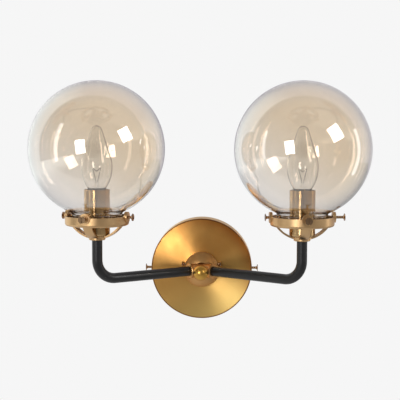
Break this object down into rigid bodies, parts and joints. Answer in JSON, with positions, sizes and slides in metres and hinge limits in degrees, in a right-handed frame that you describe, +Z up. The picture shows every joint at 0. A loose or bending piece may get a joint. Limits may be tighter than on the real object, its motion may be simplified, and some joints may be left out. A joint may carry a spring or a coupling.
{
  "type": "wall sconce",
  "caption": "Wall sconce with a round brass wall plate, a forked hub, two bent black arms and two glass globes held by thumb screws over candle bulbs.",
  "frame": {"origin": "middle of the wall plate's back, on the face of the wall", "axes": "+X to the viewer's right, +Y into the wall, +Z up"},
  "size_m": [0.376, 0.187, 0.2798],
  "materials": {
    "zinc_plated_steel": "zinc plated",
    "screw_brass": "turned, satin",
    "terminal_plastic": "moulded nylon",
    "spun_brass": "spun, circular brushed",
    "aged_brass": "cast, satin, slightly aged",
    "threaded_brass": "plain",
    "polished_brass": "polished",
    "black_satin": "black, satin powder coat",
    "flex_sleeve": "sheathed flex",
    "gallery_brass": "cast and turned, satin",
    "cup_brass": "drawn tube, satin",
    "lampholder_plastic": "moulded black thermoset",
    "tinted_glass": "blown, champagne tint",
    "clear_glass": "clear",
    "nickel_cap": "nickel plated screw cap",
    "filament_wire": "drawn wire"
  },
  "bodies": {
    "fixture": {"wall_bracket": "zinc_plated_steel", "earth_screw": "screw_brass", "terminal_block": "terminal_plastic", "canopy": "spun_brass", "hub_body": "aged_brass", "hub_dome": "aged_brass", "hub_rod": "threaded_brass", "hub_washer": "zinc_plated_steel", "hub_nut": "zinc_plated_steel", "left_arm": "black_satin", "left_flex": "flex_sleeve", "left_collar": "gallery_brass", "left_rod": "threaded_brass", "left_spider": "gallery_brass", "left_ring": "gallery_brass", "left_cup": "cup_brass", "left_nut": "zinc_plated_steel", "left_sleeve": "cup_brass", "left_lampholder": "lampholder_plastic", "left_shell": "threaded_brass", "left_contact": "threaded_brass", "right_arm": "black_satin", "right_flex": "flex_sleeve", "right_collar": "gallery_brass", "right_rod": "threaded_brass", "right_spider": "gallery_brass", "right_ring": "gallery_brass", "right_cup": "cup_brass", "right_nut": "zinc_plated_steel", "right_sleeve": "cup_brass", "right_lampholder": "lampholder_plastic", "right_shell": "threaded_brass", "right_contact": "threaded_brass"},
    "ball_finial": {"ball_finial": "polished_brass"},
    "left_globe": {"left_globe": "tinted_glass"},
    "left_bulb": {"left_bulb_glass": "clear_glass", "left_bulb_cap": "nickel_cap", "left_bulb_tip": "nickel_cap", "left_bulb_stem": "clear_glass", "left_bulb_filament": "filament_wire"},
    "left_screw_right": {"left_screw_right": "screw_brass"},
    "left_screw_back": {"left_screw_back": "screw_brass"},
    "left_screw_left": {"left_screw_left": "screw_brass"},
    "left_screw_front": {"left_screw_front": "screw_brass"},
    "right_globe": {"right_globe": "tinted_glass"},
    "right_bulb": {"right_bulb_glass": "clear_glass", "right_bulb_cap": "nickel_cap", "right_bulb_tip": "nickel_cap", "right_bulb_stem": "clear_glass", "right_bulb_filament": "filament_wire"},
    "right_screw_right": {"right_screw_right": "screw_brass"},
    "right_screw_back": {"right_screw_back": "screw_brass"},
    "right_screw_left": {"right_screw_left": "screw_brass"},
    "right_screw_front": {"right_screw_front": "screw_brass"},
    "canopy_screw_left": {"canopy_screw_left": "screw_brass"},
    "hub_screw_left": {"hub_screw_left": "screw_brass"},
    "canopy_screw_right": {"canopy_screw_right": "screw_brass"},
    "hub_screw_right": {"hub_screw_right": "screw_brass"}
  },
  "joints": [
    {"name": "ball_turn", "type": "hinge", "parent": "fixture", "child": "ball_finial", "pos_m": [0, -0.05728, 0], "axis": [0, -1, 0], "continuous": true},
    {"name": "left_globe_turn", "type": "hinge", "parent": "fixture", "child": "left_globe", "pos_m": [-0.113, -0.112, 0.1448], "axis": [0, 0, 1], "continuous": true},
    {"name": "left_bulb_unscrew", "type": "hinge", "parent": "fixture", "child": "left_bulb", "pos_m": [-0.113, -0.112, 0.0973], "axis": [0, 0, 1], "continuous": true},
    {"name": "left_screw_right_out", "type": "slide", "parent": "fixture", "child": "left_screw_right", "axis": [0.9703, -0.2419, 0], "range_m": [-0.0016, 0.0054]},
    {"name": "left_screw_back_out", "type": "slide", "parent": "fixture", "child": "left_screw_back", "axis": [0.2419, 0.9703, 0], "range_m": [0, 0.007]},
    {"name": "left_screw_left_out", "type": "slide", "parent": "fixture", "child": "left_screw_left", "axis": [-0.9703, 0.2419, 0], "range_m": [0, 0.007]},
    {"name": "left_screw_front_out", "type": "slide", "parent": "fixture", "child": "left_screw_front", "axis": [-0.2419, -0.9703, 0], "range_m": [-0.004, 0.003]},
    {"name": "right_globe_turn", "type": "hinge", "parent": "fixture", "child": "right_globe", "pos_m": [0.113, -0.112, 0.1448], "axis": [0, 0, 1], "continuous": true},
    {"name": "right_bulb_unscrew", "type": "hinge", "parent": "fixture", "child": "right_bulb", "pos_m": [0.113, -0.112, 0.0973], "axis": [0, 0, 1], "continuous": true},
    {"name": "right_screw_right_out", "type": "slide", "parent": "fixture", "child": "right_screw_right", "axis": [0.9962, 0.0872, 0], "range_m": [-0.0065, 0.0005]},
    {"name": "right_screw_back_out", "type": "slide", "parent": "fixture", "child": "right_screw_back", "axis": [-0.0872, 0.9962, 0], "range_m": [0, 0.007]},
    {"name": "right_screw_left_out", "type": "slide", "parent": "fixture", "child": "right_screw_left", "axis": [-0.9962, -0.0872, 0], "range_m": [-0.0006, 0.0064]},
    {"name": "right_screw_front_out", "type": "slide", "parent": "fixture", "child": "right_screw_front", "axis": [0.0872, -0.9962, 0], "range_m": [-0.005, 0.002]},
    {"name": "canopy_screw_left_out", "type": "slide", "parent": "fixture", "child": "canopy_screw_left", "axis": [-1, 0, 0], "range_m": [-0.0041, 0.004]},
    {"name": "hub_screw_left_out", "type": "slide", "parent": "fixture", "child": "hub_screw_left", "axis": [-1, 0, 0], "range_m": [-0.0005, 0.0024]},
    {"name": "canopy_screw_right_out", "type": "slide", "parent": "fixture", "child": "canopy_screw_right", "axis": [1, 0, 0], "range_m": [-0.0041, 0.004]},
    {"name": "hub_screw_right_out", "type": "slide", "parent": "fixture", "child": "hub_screw_right", "axis": [1, 0, 0], "range_m": [-0.0005, 0.0024]}
  ]
}
